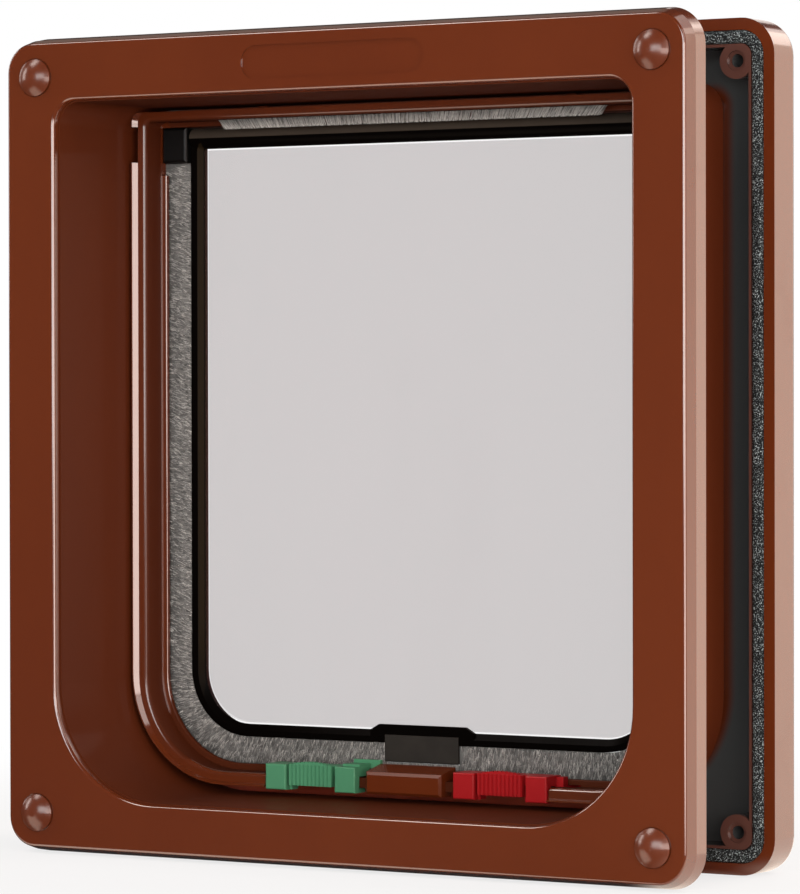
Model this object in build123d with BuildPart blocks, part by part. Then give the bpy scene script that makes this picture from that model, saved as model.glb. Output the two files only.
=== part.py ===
from build123d import *
from math import atan2, degrees, radians, tan
import os

# Frames
frame_width = 218.8
frame_height = 229.0
frame_corner_radius = 10.0
interior_depth = 8.1
exterior_depth = 13.6
door_thickness = 39.3
side_border = 17.6
top_border = 18.0
bottom_border = 15.1
face_thickness = 2.6
rim_width = 3.0
front_band = 4.0
front_draft = 17.0
rear_draft = 9.5
face_edge_radius = 0.8

# Opening and liner of the interior frame
opening_top_radius = 6.8
opening_bottom_radius = 32.5
opening_step = 0.4
opening_edge_radius = 1.0
liner_wall = 1.9
liner_entry = 1.6

# Blank panel over the opening
panel_length = 58.0
panel_height = 9.2
panel_drop = 9.9
panel_recess = 0.5

# Screws and their caps
screw_inset = 11.4
screw_radius = 2.3
screw_head_radius = 4.0
screw_head_depth = 4.4
interior_boss_radius = 5.2
cap_radius = 5.15
cap_height = 2.6
cap_groove = 0.3
cap_seat = 0.4
cap_rim = 0.5
cap_stem_length = 2.4

# Exterior frame
exterior_skin = 3.0
exterior_edge_radius = 3.0
throat_edge = 1.6
rim_land = 3.2
foam_width = 3.7
foam_rib = 0.8
foam_groove_depth = 3.0
foam_proud = 0.5
foam_edge = 0.8
boss_radius = 4.9
boss_hole_radius = 1.8
boss_hole_depth = 9.8
boss_ring_radius = 2.75
boss_ring_depth = 0.8

# Sleeve of the exterior frame
lip_reach = 10.4
lip_wall = 2.75
lip_edge_radius = 1.2
liner_gap_side = 2.65
liner_gap_top = 1.2
liner_gap_bottom = 3.6
sleeve_top_radius = 3.0
flare_width = 1.6
flare_drop = 0.9
flare_land = 0.4
flare_rise = 1.2
flare_length = 2.0
guide_width = 3.0
guide_setback = 5.0
guide_reach = 2.0
guide_height = 40.0
guide_top_offset = 50.0

# Throat round the flap
recess_depth = 8.0
flange_thickness = 1.2
channel_width = 3.0
flange_edge_radius = 0.4
flange_start = 3.5
throat_step_top = 1.35
throat_step_side = 1.7
throat_step_bottom = 1.85
channel_step_bottom = 0.8

# Pile strips
pile_thickness = 2.4
pile_gap = 0.3
pile_tab_gap = 0.4
pile_top_length = 126.0
pile_top_slant = 2.0
pile_top_height = 2.7
pile_top_thickness = 2.0
pile_top_setback = 2.2

# Flap
flap_thickness = 4.0
flap_setback = 1.7
flap_margin_side = 7.3
flap_margin_bottom = 7.6
flap_corner_radius = 19.0
hinge_drop = 4.65
hinge_bar_radius = 3.0
border_width = 2.1
border_foot = 3.5
bevel_width = 1.8
pane_thickness = 1.5
pane_setback = 1.25
pane_overlap = 0.8
flap_top_radius = 0.5
bump_half_width_top = 14.0
bump_half_width_foot = 16.8
bump_height = 1.6

# Hinge
pin_radius = 1.5
pin_in_flap = 5.5
pin_in_block = 6.0
pivot_gap = 0.5
pivot_drop = 6.9
pivot_depth = 7.0
pivot_edge_radius = 1.0

# Magnets and their holders
holder_half_width = 12.0
holder_drop = 5.35
holder_overlap = 2.3
holder_proud = 0.1
holder_edge_radius = 0.5
magnet_half_length = 9.0
magnet_thickness = 2.0
magnet_height = 5.5
magnet_floor = 1.2
sill_magnet_thickness = 1.4
sill_magnet_width = 3.4
sill_magnet_setback = 0.9

# Catch block on the sill
block_half_width = 12.2
block_edge = 0.7
block_front_rise = 1.85
block_rear_rise = 3.65
block_bottom_drop = 1.4
block_jaw = 3.2

# Lock slides
slide_proud = 0.6
slide_length = 29.7
slide_rise = 3.0
slide_drop = 1.5
slide_front_wall = 2.5
slide_shelf_depth = 5.1
slide_jaw = 3.1
slide_edge_radius = 0.5
green_gap = 3.4
red_gap = 3.9
end_block_width = 6.75
end_block_relief = 0.8
grip_slot_left = 0.7
grip_slot_right = 1.4
grip_foot = 1.4
arch_height = 0.9
rib_count = 11
rib_radius = 0.55
rib_notch_radius = 0.35
rib_sides = 6
notch_sides = 4
lock_travel = 2.8
tongue_thickness = 1.2
tongue_rise = 0.5
tongue_gap = 0.5
green_arm_length = 5.6
green_arm_height = 1.4
red_arm_width = 3.6
red_arm_height = 1.2
red_arm_rise = 3.7
red_arm_depth = 2.6
red_bar_thickness = 2.0
red_bar_height = 2.5
red_tongue_width = 3.0
red_slot_spare = 3.8
trench_floor = 1.4
trench_height = 1.7

# Clearances
seat = 0.05
pin_seat = 0.02
pin_running = 0.06
slide_running = 0.3
lock_running = 0.4

# Places worked out from the sizes above, depths counted from the interior face, heights from its middle
half_width = frame_width / 2
half_height = frame_height / 2
screw_pitch_x = frame_width - 2 * screw_inset
screw_pitch_z = frame_height - 2 * screw_inset
rim_depth = interior_depth + door_thickness
rear_depth = rim_depth + exterior_depth
floor_depth = rear_depth - exterior_skin
lip_depth = rim_depth - lip_reach
liner_end = rim_depth + liner_entry
flare_front = lip_depth - flare_rise
flange_front = lip_depth + recess_depth
channel_front = flange_front + flange_thickness
channel_rear = channel_front + channel_width
pile_front = channel_front + (channel_width - pile_thickness) / 2
pile_rear = pile_front + pile_thickness
flap_front = flange_front + flap_setback
flap_rear = flap_front + flap_thickness
hinge_depth = flap_front + flap_thickness / 2
pane_front = flap_front + pane_setback
pane_rear = pane_front + pane_thickness

opening_half = half_width - side_border
opening_top = half_height - top_border
opening_bottom = bottom_border - half_height
liner_half = opening_half - opening_step
liner_top = opening_top - opening_step
liner_bottom = opening_bottom + opening_step
sleeve_half = liner_half - liner_gap_side
sleeve_top = liner_top - liner_gap_top
sleeve_bottom = liner_bottom + liner_gap_bottom
sleeve_bottom_radius = opening_bottom_radius - opening_step - liner_gap_side
recess_half = sleeve_half - lip_wall
recess_top = sleeve_top - lip_wall
recess_bottom = sleeve_bottom + lip_wall
recess_top_radius = sleeve_top_radius / 2
recess_bottom_radius = sleeve_bottom_radius - lip_wall
throat_half = recess_half - throat_step_side
throat_top = recess_top - throat_step_top
throat_bottom = recess_bottom + throat_step_bottom
throat_bottom_radius = recess_bottom_radius - throat_step_side
channel_bottom = throat_bottom - channel_step_bottom
hinge_height = recess_top - hinge_drop
flap_half = throat_half - flap_margin_side
flap_bottom = throat_bottom + flap_margin_bottom
pane_half = flap_half - border_width - bevel_width
pane_bottom = flap_bottom + border_foot
pane_top = hinge_height - hinge_bar_radius
pane_corner_radius = flap_corner_radius - border_width - bevel_width
bevel_angle = degrees(atan2(bevel_width, pane_setback))

# Heights and depths of the sill, its block and its slides
sill_top = recess_bottom
sill_bottom = sleeve_bottom
slide_front = lip_depth - slide_proud
slide_inside = slide_front + slide_front_wall
sill_edge = slide_inside + slide_running
slide_top = sill_top + slide_rise
slide_bottom = sill_bottom - slide_drop
green_right = -block_half_width - green_gap
green_left = green_right - slide_length
red_left = block_half_width + red_gap
red_right = red_left + slide_length
block_rear = flap_front - holder_proud - 2 * lock_running - tongue_thickness
holder_front = flap_front - holder_proud
holder_rear = flap_rear + holder_proud
holder_bottom = flap_bottom - holder_drop
holder_top = flap_bottom + holder_overlap
tongue_top = holder_bottom + tongue_rise
trench_bottom = sill_bottom + trench_floor
trench_top = trench_bottom + trench_height
tongue_reach = holder_half_width + tongue_gap

# Shifts that put the origin under the middle of the whole part
face_y = (cap_height - rear_depth) / 2
centre_z = half_height


def upright(depth):
    """Plane facing the room at a depth behind the interior face, drawn in X and height."""
    return Plane(origin=(0, face_y + depth, centre_z), x_dir=(1, 0, 0), z_dir=(0, -1, 0))


def across(x):
    """Plane across the door at X, drawn in depth and height."""
    return Plane(origin=(x, face_y, centre_z), x_dir=(0, 1, 0), z_dir=(1, 0, 0))


def level(height):
    """Level plane at a height, drawn in X and depth."""
    return Plane(origin=(0, face_y, centre_z + height), x_dir=(1, 0, 0), z_dir=(0, 0, 1))


def arch_outline(half, top, bottom, top_radius, bottom_radius, mode=Mode.ADD):
    """Draw an upright opening whose lower corners have a radius of their own."""
    with BuildLine() as outline:
        FilletPolyline(
            (half, top),
            (-half, top),
            (-half, bottom),
            (half, bottom),
            radius=[top_radius, top_radius, bottom_radius, bottom_radius],
            close=True,
        )
    make_face(outline.edges(), mode=mode)


def liner_outline(grow, mode=Mode.ADD):
    """Draw the liner's clear opening, grown all round."""
    arch_outline(
        liner_half + grow,
        liner_top + grow,
        liner_bottom - grow,
        opening_top_radius - opening_step + grow,
        opening_bottom_radius - opening_step + grow,
        mode,
    )


def sleeve_outline(mode=Mode.ADD):
    """Draw the outside of the exterior frame's sleeve."""
    arch_outline(
        sleeve_half, sleeve_top, sleeve_bottom, sleeve_top_radius, sleeve_bottom_radius, mode
    )


def flare_outline(side, drop, rise):
    """Draw the sleeve's outside, grown at its sides, bottom and top."""
    arch_outline(
        sleeve_half + side,
        sleeve_top + rise,
        sleeve_bottom - drop,
        sleeve_top_radius + rise,
        sleeve_bottom_radius + side,
    )


def inner_edges(piece, depth):
    """Find the edges round the hole in the flat face at a depth."""
    flat = piece.faces().filter_by(Axis.Y)
    here = flat.filter_by_position(Axis.Y, face_y + depth - seat, face_y + depth + seat)
    return here[0].inner_wires()[0].edges()


def brick(x_range, depth_range, height_range, mode=Mode.ADD):
    """Add or cut a block between two values of X, depth and height."""
    with BuildSketch(level(height_range[0])) as footprint:
        with Locations((sum(x_range) / 2, sum(depth_range) / 2)):
            Rectangle(x_range[1] - x_range[0], depth_range[1] - depth_range[0])
    extrude(footprint.sketch, amount=height_range[1] - height_range[0], mode=mode)


# Interior frame: drafted hollow moulding with the liner in one piece
rear_band = interior_depth - front_band
shoulder_inset = rear_band * tan(radians(rear_draft))
with BuildPart() as interior_frame:
    with BuildSketch(upright(interior_depth)):
        RectangleRounded(frame_width, frame_height, frame_corner_radius)
    extrude(amount=rear_band, taper=rear_draft)
    with BuildSketch(upright(front_band)):
        RectangleRounded(
            frame_width - 2 * shoulder_inset,
            frame_height - 2 * shoulder_inset,
            frame_corner_radius - shoulder_inset,
        )
    extrude(amount=front_band, taper=front_draft)
    fillet(interior_frame.faces().sort_by(Axis.Y)[0].edges(), face_edge_radius)

    # Hollow behind the face, round the liner
    with BuildSketch(upright(interior_depth)):
        RectangleRounded(
            frame_width - 2 * rim_width,
            frame_height - 2 * rim_width,
            frame_corner_radius - rim_width,
        )
        liner_outline(liner_wall, Mode.SUBTRACT)
    extrude(amount=interior_depth - face_thickness, mode=Mode.SUBTRACT)
    with BuildSketch(upright(liner_end)):
        liner_outline(liner_wall)
    extrude(amount=liner_end - face_thickness)

    # Clear way through the liner and the wider, rounded mouth in the face
    with BuildSketch(upright(liner_end)):
        liner_outline(0)
    extrude(amount=liner_end, mode=Mode.SUBTRACT)
    with BuildSketch(upright(face_thickness)):
        liner_outline(opening_step)
    extrude(amount=face_thickness, mode=Mode.SUBTRACT)
    mouth = interior_frame.faces().sort_by(Axis.Y)[0].inner_wires()[0]
    fillet(mouth.edges(), opening_edge_radius)

    # Screw bosses with cap seats, and the blank panel
    with BuildSketch(upright(interior_depth)):
        with GridLocations(screw_pitch_x, screw_pitch_z, 2, 2):
            Circle(interior_boss_radius)
    extrude(amount=interior_depth - face_thickness)
    with Locations(upright(0)):
        with GridLocations(screw_pitch_x, screw_pitch_z, 2, 2):
            CounterBoreHole(screw_radius, screw_head_radius, screw_head_depth)
    with BuildSketch(upright(cap_seat)):
        with GridLocations(screw_pitch_x, screw_pitch_z, 2, 2):
            Circle(cap_radius + cap_groove)
    extrude(amount=cap_seat, mode=Mode.SUBTRACT)
    with BuildSketch(upright(panel_recess)):
        with Locations((0, half_height - panel_drop)):
            SlotOverall(panel_length, panel_height)
    extrude(amount=panel_recess, mode=Mode.SUBTRACT)

# Screw cap: dome on a rim, with a stem that plugs the screw head's bore
stem_radius = screw_head_radius - seat
with BuildPart() as screw_cap:
    with BuildSketch(Plane.XZ):
        with BuildLine():
            Polyline(
                (0, cap_height),
                (0, -cap_seat - cap_stem_length),
                (stem_radius, -cap_seat - cap_stem_length),
                (stem_radius, -cap_seat),
                (cap_radius, -cap_seat),
                (cap_radius, cap_rim),
            )
            dome_radius = (cap_radius**2 + (cap_height - cap_rim) ** 2) / (2 * (cap_height - cap_rim))
            RadiusArc((cap_radius, cap_rim), (0, cap_height), -dome_radius)
        make_face()
    revolve(axis=Axis.Z)

with BuildPart() as screw_caps:
    with Locations(upright(0)):
        with GridLocations(screw_pitch_x, screw_pitch_z, 2, 2):
            add(screw_cap.part)

# Exterior frame: hollow from the door side, with the sleeve that carries the flap
foam_outer = rim_land
foam_inner = rim_land + foam_width
hollow_inset = foam_inner + foam_rib
with BuildPart() as exterior_frame:
    with BuildSketch(upright(rear_depth)):
        RectangleRounded(frame_width, frame_height, frame_corner_radius)
    extrude(amount=exterior_depth)
    fillet(exterior_frame.faces().sort_by(Axis.Y)[-1].edges(), exterior_edge_radius)
    with BuildSketch(upright(floor_depth)):
        RectangleRounded(
            frame_width - 2 * hollow_inset,
            frame_height - 2 * hollow_inset,
            frame_corner_radius - rim_land,
        )
    extrude(amount=floor_depth - rim_depth, mode=Mode.SUBTRACT)
    with BuildSketch(upright(rear_depth - exterior_edge_radius)):
        sleeve_outline()
    extrude(amount=rear_depth - exterior_edge_radius - lip_depth)

    # Flare round the sleeve's front, sloping in to the lip
    with BuildSketch(upright(lip_depth + flare_length)):
        flare_outline(flare_width, flare_drop, 0)
    extrude(amount=flare_length + flare_rise)
    with BuildSketch(upright(lip_depth)):
        sleeve_outline()
    with BuildSketch(upright(flare_front)):
        flare_outline(flare_width - flare_land, flare_drop - flare_land, flare_rise)
    loft(ruled=True, mode=Mode.SUBTRACT)

    # Throat through the sleeve, the recess in front of it and the pile's channel
    with BuildSketch(upright(rear_depth)):
        arch_outline(
            throat_half, throat_top, throat_bottom, recess_top_radius, throat_bottom_radius
        )
    extrude(amount=rear_depth - lip_depth, mode=Mode.SUBTRACT)
    chamfer(exterior_frame.faces().sort_by(Axis.Y)[-1].inner_wires()[0].edges(), throat_edge)
    with BuildSketch(upright(flange_front)):
        arch_outline(
            recess_half, recess_top, recess_bottom, recess_top_radius, recess_bottom_radius
        )
    extrude(amount=recess_depth, mode=Mode.SUBTRACT)
    with BuildSketch(upright(channel_rear)):
        arch_outline(
            recess_half, throat_top, channel_bottom, recess_top_radius, recess_bottom_radius
        )
    extrude(amount=channel_width, mode=Mode.SUBTRACT)
    fillet(inner_edges(exterior_frame, flange_front), flange_edge_radius)
    fillet(inner_edges(exterior_frame, lip_depth), lip_edge_radius)

    # Guide ribs that run in the liner
    with BuildSketch(upright(rim_depth + guide_reach)):
        side_guide = liner_gap_side - slide_running
        with GridLocations(2 * sleeve_half + side_guide, 2 * guide_height, 2, 2):
            Rectangle(side_guide, guide_width)
        top_guide = liner_gap_top - slide_running
        with Locations((0, sleeve_top + top_guide / 2)):
            with GridLocations(2 * guide_top_offset, 1, 2, 1):
                Rectangle(guide_width, top_guide)
    extrude(amount=lip_reach + guide_reach - lip_edge_radius - guide_setback)

    # Bosses, the foam groove that trims them, and the screw holes
    with BuildSketch(upright(floor_depth)):
        with GridLocations(screw_pitch_x, screw_pitch_z, 2, 2):
            Circle(boss_radius)
    extrude(amount=floor_depth - rim_depth)
    with BuildSketch(upright(rim_depth + foam_groove_depth)):
        RectangleRounded(
            frame_width - 2 * foam_outer,
            frame_height - 2 * foam_outer,
            frame_corner_radius - foam_outer,
        )
        RectangleRounded(
            frame_width - 2 * foam_inner,
            frame_height - 2 * foam_inner,
            frame_corner_radius - foam_inner,
            mode=Mode.SUBTRACT,
        )
    extrude(amount=foam_groove_depth, mode=Mode.SUBTRACT)
    with Locations(upright(rim_depth)):
        with GridLocations(screw_pitch_x, screw_pitch_z, 2, 2):
            CounterBoreHole(boss_hole_radius, boss_ring_radius, boss_ring_depth, boss_hole_depth)

    # Seats of the pivot blocks, with the flange and the flare cut away beside them
    pivot_bottom = hinge_height - pivot_drop
    for side in (-1, 1):
        brick(
            sorted((side * flap_half, side * recess_half)),
            (flange_front, flange_front + pivot_depth + 2 * seat),
            (pivot_bottom, throat_top),
            Mode.SUBTRACT,
        )
        brick(
            sorted((side * flap_half, side * recess_half)),
            (flange_front, channel_front),
            (pivot_bottom - flange_start, pivot_bottom),
            Mode.SUBTRACT,
        )
        brick(
            sorted((side * sleeve_half, side * (sleeve_half + flare_width))),
            (flare_front, lip_depth + flare_length),
            (pivot_bottom, throat_top),
            Mode.SUBTRACT,
        )

    # Sill: rail for the block and slides, slot and trench for the red slide's bar
    brick(
        (green_left - slide_running, red_right + slide_running),
        (flare_front, sill_edge),
        (sill_bottom - flare_drop, sill_top),
        Mode.SUBTRACT,
    )
    red_arm_left = red_right - red_arm_width / 2 + slide_running
    red_arm_right = red_arm_left + red_arm_width
    slot_left = red_arm_left - lock_travel - lock_running
    slot_right = red_arm_right + red_slot_spare
    arm_front = flange_front - lock_running - red_arm_depth
    bar_front = holder_rear + lock_running
    bar_rear = bar_front + red_bar_thickness
    brick(
        (slot_left, slot_right),
        (arm_front - lock_running, bar_rear),
        (trench_bottom, trench_top),
        Mode.SUBTRACT,
    )
    brick(
        (tongue_reach - lock_travel - lock_running, slot_right),
        (bar_front - lock_running, bar_rear + lock_running),
        (trench_bottom, throat_bottom),
        Mode.SUBTRACT,
    )

# Foam cord with bevelled edges, in the groove of the exterior rim
with BuildPart() as foam_seal:
    with BuildSketch(upright(rim_depth + foam_groove_depth)):
        RectangleRounded(
            frame_width - 2 * (foam_outer + seat),
            frame_height - 2 * (foam_outer + seat),
            frame_corner_radius - foam_outer - seat,
        )
        RectangleRounded(
            frame_width - 2 * (foam_inner - seat),
            frame_height - 2 * (foam_inner - seat),
            frame_corner_radius - foam_inner + seat,
            mode=Mode.SUBTRACT,
        )
    extrude(amount=foam_groove_depth + foam_proud)
    chamfer(foam_seal.edges().group_by(Axis.Y)[0], foam_edge)

# Pile strips: seated in the channel, tips short of the flap, low under the tab
pile_tab = tongue_reach + 2 * lock_running
with BuildPart() as pile_left:
    with BuildSketch(upright(pile_rear)):
        arch_outline(
            recess_half - seat,
            recess_top,
            channel_bottom + seat,
            recess_top_radius,
            recess_bottom_radius,
        )
        arch_outline(
            flap_half + pile_gap,
            recess_top,
            flap_bottom - pile_gap,
            recess_top_radius,
            flap_corner_radius + pile_gap,
            Mode.SUBTRACT,
        )
        pile_span = recess_half - pile_tab
        pile_head = pivot_bottom - seat
        with Locations((-pile_tab - pile_span / 2, (pile_head + channel_bottom) / 2)):
            Rectangle(pile_span, pile_head - channel_bottom, mode=Mode.INTERSECT)
        low_foot = channel_bottom + seat
        low_height = holder_bottom - pile_tab_gap - low_foot
        with Locations((-pile_tab / 2 - seat / 2, low_foot + low_height / 2)):
            Rectangle(pile_tab - seat, low_height)
    extrude(amount=pile_thickness)

with BuildPart() as pile_right:
    mirror(pile_left.part, about=Plane.YZ)

with BuildPart() as pile_top:
    with BuildSketch(upright(lip_depth + pile_top_setback + pile_top_thickness)):
        with BuildLine():
            Polyline(
                (-pile_top_length / 2, recess_top - seat),
                (pile_top_length / 2, recess_top - seat),
                (pile_top_length / 2 - pile_top_slant, recess_top - seat - pile_top_height),
                (pile_top_slant - pile_top_length / 2, recess_top - seat - pile_top_height),
                close=True,
            )
        make_face()
    extrude(amount=pile_top_thickness)

# Flap border: bevelled window, round hinge bar, rebate for the pane, notch and bump for the tab
with BuildPart() as flap_frame:
    with BuildSketch(upright(flap_rear)):
        arch_outline(flap_half, hinge_height, flap_bottom, flap_top_radius, flap_corner_radius)
    extrude(amount=flap_thickness)
    with BuildSketch(upright(pane_front)):
        arch_outline(pane_half, pane_top, pane_bottom, flap_top_radius, pane_corner_radius)
    extrude(amount=pane_setback, taper=-bevel_angle, mode=Mode.SUBTRACT)
    with BuildSketch(across(-flap_half)):
        with Locations((hinge_depth, hinge_height)):
            Circle(hinge_bar_radius)
    extrude(amount=2 * flap_half)
    with BuildSketch(upright(hinge_depth + hinge_bar_radius)):
        arch_outline(
            pane_half + pane_overlap,
            pane_top + pane_overlap,
            pane_bottom - pane_overlap,
            flap_top_radius,
            pane_corner_radius + pane_overlap,
        )
    extrude(amount=hinge_depth + hinge_bar_radius - pane_front, mode=Mode.SUBTRACT)
    with BuildSketch(upright(pane_front)):
        with BuildLine():
            Polyline(
                (-bump_half_width_foot, pane_bottom - bevel_width),
                (bump_half_width_foot, pane_bottom - bevel_width),
                (bump_half_width_foot, pane_bottom),
                (bump_half_width_top, pane_bottom + bump_height),
                (-bump_half_width_top, pane_bottom + bump_height),
                (-bump_half_width_foot, pane_bottom),
                close=True,
            )
        make_face()
    extrude(amount=pane_setback)
    brick(
        (-holder_half_width, holder_half_width),
        (flap_front, flap_rear),
        (flap_bottom, holder_top),
        Mode.SUBTRACT,
    )
    for side in (-1, 1):
        with BuildSketch(across(side * flap_half)):
            with Locations((hinge_depth, hinge_height)):
                Circle(pin_radius + pin_seat)
        extrude(amount=-side * pin_in_flap, mode=Mode.SUBTRACT)

# Clear pane, set into the border from the rear
with BuildPart() as flap_pane:
    with BuildSketch(upright(pane_rear)):
        arch_outline(
            pane_half + pane_overlap - seat,
            pane_top + pane_overlap - seat,
            pane_bottom - pane_overlap + seat,
            flap_top_radius,
            pane_corner_radius + pane_overlap - seat,
        )
    extrude(amount=pane_thickness)

# Magnet tab at the foot of the flap, with the bar magnet in its pocket
with BuildPart() as magnet_holder:
    brick(
        (seat - holder_half_width, holder_half_width - seat),
        (holder_front, holder_rear),
        (holder_bottom, holder_top - seat),
    )
    fillet(magnet_holder.edges().group_by(Axis.Z)[0], holder_edge_radius)
    brick(
        (-magnet_half_length - seat, magnet_half_length + seat),
        (hinge_depth - magnet_thickness / 2 - seat, hinge_depth + magnet_thickness / 2 + seat),
        (holder_bottom + magnet_floor, holder_top),
        Mode.SUBTRACT,
    )

with BuildPart() as flap_magnet:
    brick(
        (-magnet_half_length, magnet_half_length),
        (hinge_depth - magnet_thickness / 2, hinge_depth + magnet_thickness / 2),
        (holder_bottom + magnet_floor, holder_bottom + magnet_floor + magnet_height),
    )

# Pivot blocks and hinge pins
pivot_inner = flap_half + pivot_gap
with BuildPart() as pivot_block_right:
    brick(
        (pivot_inner, recess_half - seat),
        (flange_front + seat, flange_front + seat + pivot_depth),
        (pivot_bottom + seat, throat_top - seat),
    )
    fillet(pivot_block_right.faces().sort_by(Axis.Y)[0].edges(), pivot_edge_radius)
    with BuildSketch(across(pivot_inner)):
        with Locations((hinge_depth, hinge_height)):
            Circle(pin_radius + pin_running)
    extrude(amount=pin_in_block + pin_running, mode=Mode.SUBTRACT)

with BuildPart() as pivot_block_left:
    mirror(pivot_block_right.part, about=Plane.YZ)

with BuildPart() as hinge_pin_right:
    with BuildSketch(across(flap_half - pin_in_flap)):
        with Locations((hinge_depth, hinge_height)):
            Circle(pin_radius)
    extrude(amount=pin_in_flap + pivot_gap + pin_in_block)

with BuildPart() as hinge_pin_left:
    mirror(hinge_pin_right.part, about=Plane.YZ)

# Catch block: clips round the sill's edge, its top ramps up towards the flap
with BuildPart() as catch_block:
    with BuildSketch(across(-block_half_width)):
        with BuildLine():
            Polyline(
                (slide_front, sill_bottom - block_bottom_drop),
                (slide_front, sill_top + block_front_rise),
                (block_rear, sill_top + block_rear_rise),
                (block_rear, sill_top + seat),
                (sill_edge - seat, sill_top + seat),
                (sill_edge - seat, sill_bottom - seat),
                (sill_edge + block_jaw, sill_bottom - seat),
                (sill_edge + block_jaw, sill_bottom - block_bottom_drop),
                close=True,
            )
        make_face()
    extrude(amount=2 * block_half_width)
    chamfer(catch_block.faces().sort_by(Axis.Y)[0].edges(), block_edge)
    magnet_y = sill_edge + sill_magnet_setback
    brick(
        (-magnet_half_length - seat, magnet_half_length + seat),
        (magnet_y - seat, magnet_y + sill_magnet_width + seat),
        (sill_top, sill_top + sill_magnet_thickness + 2 * seat),
        Mode.SUBTRACT,
    )

with BuildPart() as sill_magnet:
    brick(
        (-magnet_half_length, magnet_half_length),
        (magnet_y, magnet_y + sill_magnet_width),
        (sill_top + seat, sill_top + seat + sill_magnet_thickness),
    )


def slide_body(slide, left):
    """Add to a lock slide the part that both share, from its left end."""
    right = left + slide_length
    face = slide_front + end_block_relief
    grip_left = left + end_block_width
    grip_right = right - end_block_width
    rib_left = grip_left + grip_slot_left
    rib_right = grip_right - grip_slot_right
    with BuildSketch(across(left)) as section:
        with BuildLine():
            Polyline(
                (face, slide_bottom),
                (face, slide_top),
                (sill_edge + slide_shelf_depth, slide_top),
                (sill_edge + slide_shelf_depth, sill_top + slide_running),
                (slide_inside, sill_top + slide_running),
                (slide_inside, sill_bottom - slide_running),
                (slide_inside + slide_jaw, sill_bottom - slide_running),
                (slide_inside + slide_jaw, slide_bottom),
                close=True,
            )
        make_face()
    extrude(section.sketch, amount=slide_length)

    # End blocks, rounded at their front
    brick((left, grip_left), (slide_front, slide_inside), (slide_bottom, slide_top))
    brick((grip_right, right), (slide_front, slide_inside), (slide_bottom, slide_top))
    fillet(slide.faces().sort_by(Axis.Y)[:2].edges(), slide_edge_radius)

    # Slots beside the grip and under it, and the arch over it
    grip_bottom = slide_bottom + grip_foot
    brick((grip_left, rib_left), (face, slide_inside), (slide_bottom, slide_top), Mode.SUBTRACT)
    brick((rib_right, grip_right), (face, slide_inside), (slide_bottom, slide_top), Mode.SUBTRACT)
    brick(
        (rib_left, rib_right),
        (face, slide_inside + slide_jaw),
        (slide_bottom, grip_bottom),
        Mode.SUBTRACT,
    )
    with BuildSketch(upright(slide_inside)) as arch:
        with BuildLine():
            chord = Line((rib_left, slide_top), (rib_right, slide_top))
            crest = ThreePointArc(chord @ 1, chord @ 0.5 + (0, arch_height), chord @ 0)
        make_face()
    extrude(arch.sketch, amount=slide_inside - face)

    # Finger ribs, and the notches between them over the arch
    rib_pitch = (rib_right - rib_left - 2 * rib_radius) / (rib_count - 1)
    with BuildSketch(level(grip_bottom)) as ribs:
        with Locations(((rib_left + rib_right) / 2, face)):
            with GridLocations(rib_pitch, 1, rib_count, 1):
                RegularPolygon(rib_radius, rib_sides)
    extrude(ribs.sketch, amount=slide_top - grip_bottom)
    with BuildSketch(upright(slide_inside)) as notches:
        with Locations(*[crest @ ((n + 1) / rib_count) for n in range(rib_count - 1)]):
            RegularPolygon(rib_notch_radius, notch_sides)
    extrude(notches.sketch, amount=slide_inside - face, mode=Mode.SUBTRACT)


# Green lock slide: its tongue moves in between the catch block and the tab
tongue_rear = holder_front - lock_running
tongue_front = tongue_rear - tongue_thickness
tongue_bottom = throat_bottom + lock_running
with BuildPart() as green_lock_slide:
    slide_body(green_lock_slide, green_left)
    brick(
        (green_right - green_arm_length, green_right),
        (sill_edge, tongue_rear),
        (tongue_bottom, tongue_bottom + green_arm_height),
    )
    brick(
        (green_right - green_arm_length, -tongue_reach),
        (tongue_front, tongue_rear),
        (tongue_bottom, tongue_top),
    )

# Red lock slide: its bar runs under the pile to a tongue behind the tab
bar_bottom = trench_bottom + slide_running
with BuildPart() as red_lock_slide:
    slide_body(red_lock_slide, red_left)
    brick(
        (red_arm_left, red_arm_right),
        (arm_front, arm_front + red_arm_depth),
        (bar_bottom, bar_bottom + red_arm_rise),
    )
    brick(
        (red_arm_left, red_arm_right),
        (arm_front, bar_rear),
        (bar_bottom, bar_bottom + red_arm_height),
    )
    brick(
        (tongue_reach, red_arm_right),
        (bar_front, bar_rear),
        (bar_bottom, bar_bottom + red_bar_height),
    )
    brick(
        (tongue_reach, tongue_reach + red_tongue_width),
        (bar_front, bar_rear),
        (bar_bottom, tongue_top),
    )

pieces = {
    "interior_frame": interior_frame,
    "screw_caps": screw_caps,
    "exterior_frame": exterior_frame,
    "foam_seal": foam_seal,
    "pile_left": pile_left,
    "pile_right": pile_right,
    "pile_top": pile_top,
    "flap_frame": flap_frame,
    "flap_pane": flap_pane,
    "magnet_holder": magnet_holder,
    "flap_magnet": flap_magnet,
    "pivot_block_left": pivot_block_left,
    "pivot_block_right": pivot_block_right,
    "hinge_pin_left": hinge_pin_left,
    "hinge_pin_right": hinge_pin_right,
    "catch_block": catch_block,
    "sill_magnet": sill_magnet,
    "green_lock_slide": green_lock_slide,
    "red_lock_slide": red_lock_slide,
}

os.makedirs("parts", exist_ok=True)
for name, piece in pieces.items():
    piece.part.label = name
    export_step(piece.part, f"parts/{name}.step")
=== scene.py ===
"""Looks of a two-way cat flap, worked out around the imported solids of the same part.

Lengths are in metres. Depths are counted from the interior frame's face into the door, and heights
from the middle of that face, as the part's source counts them.
"""

import logging
from dataclasses import dataclass
from enum import Enum
from typing import Any, Mapping, Optional, Sequence, Union

import bpy
import numpy as np
from mathutils import Matrix, Vector


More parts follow.
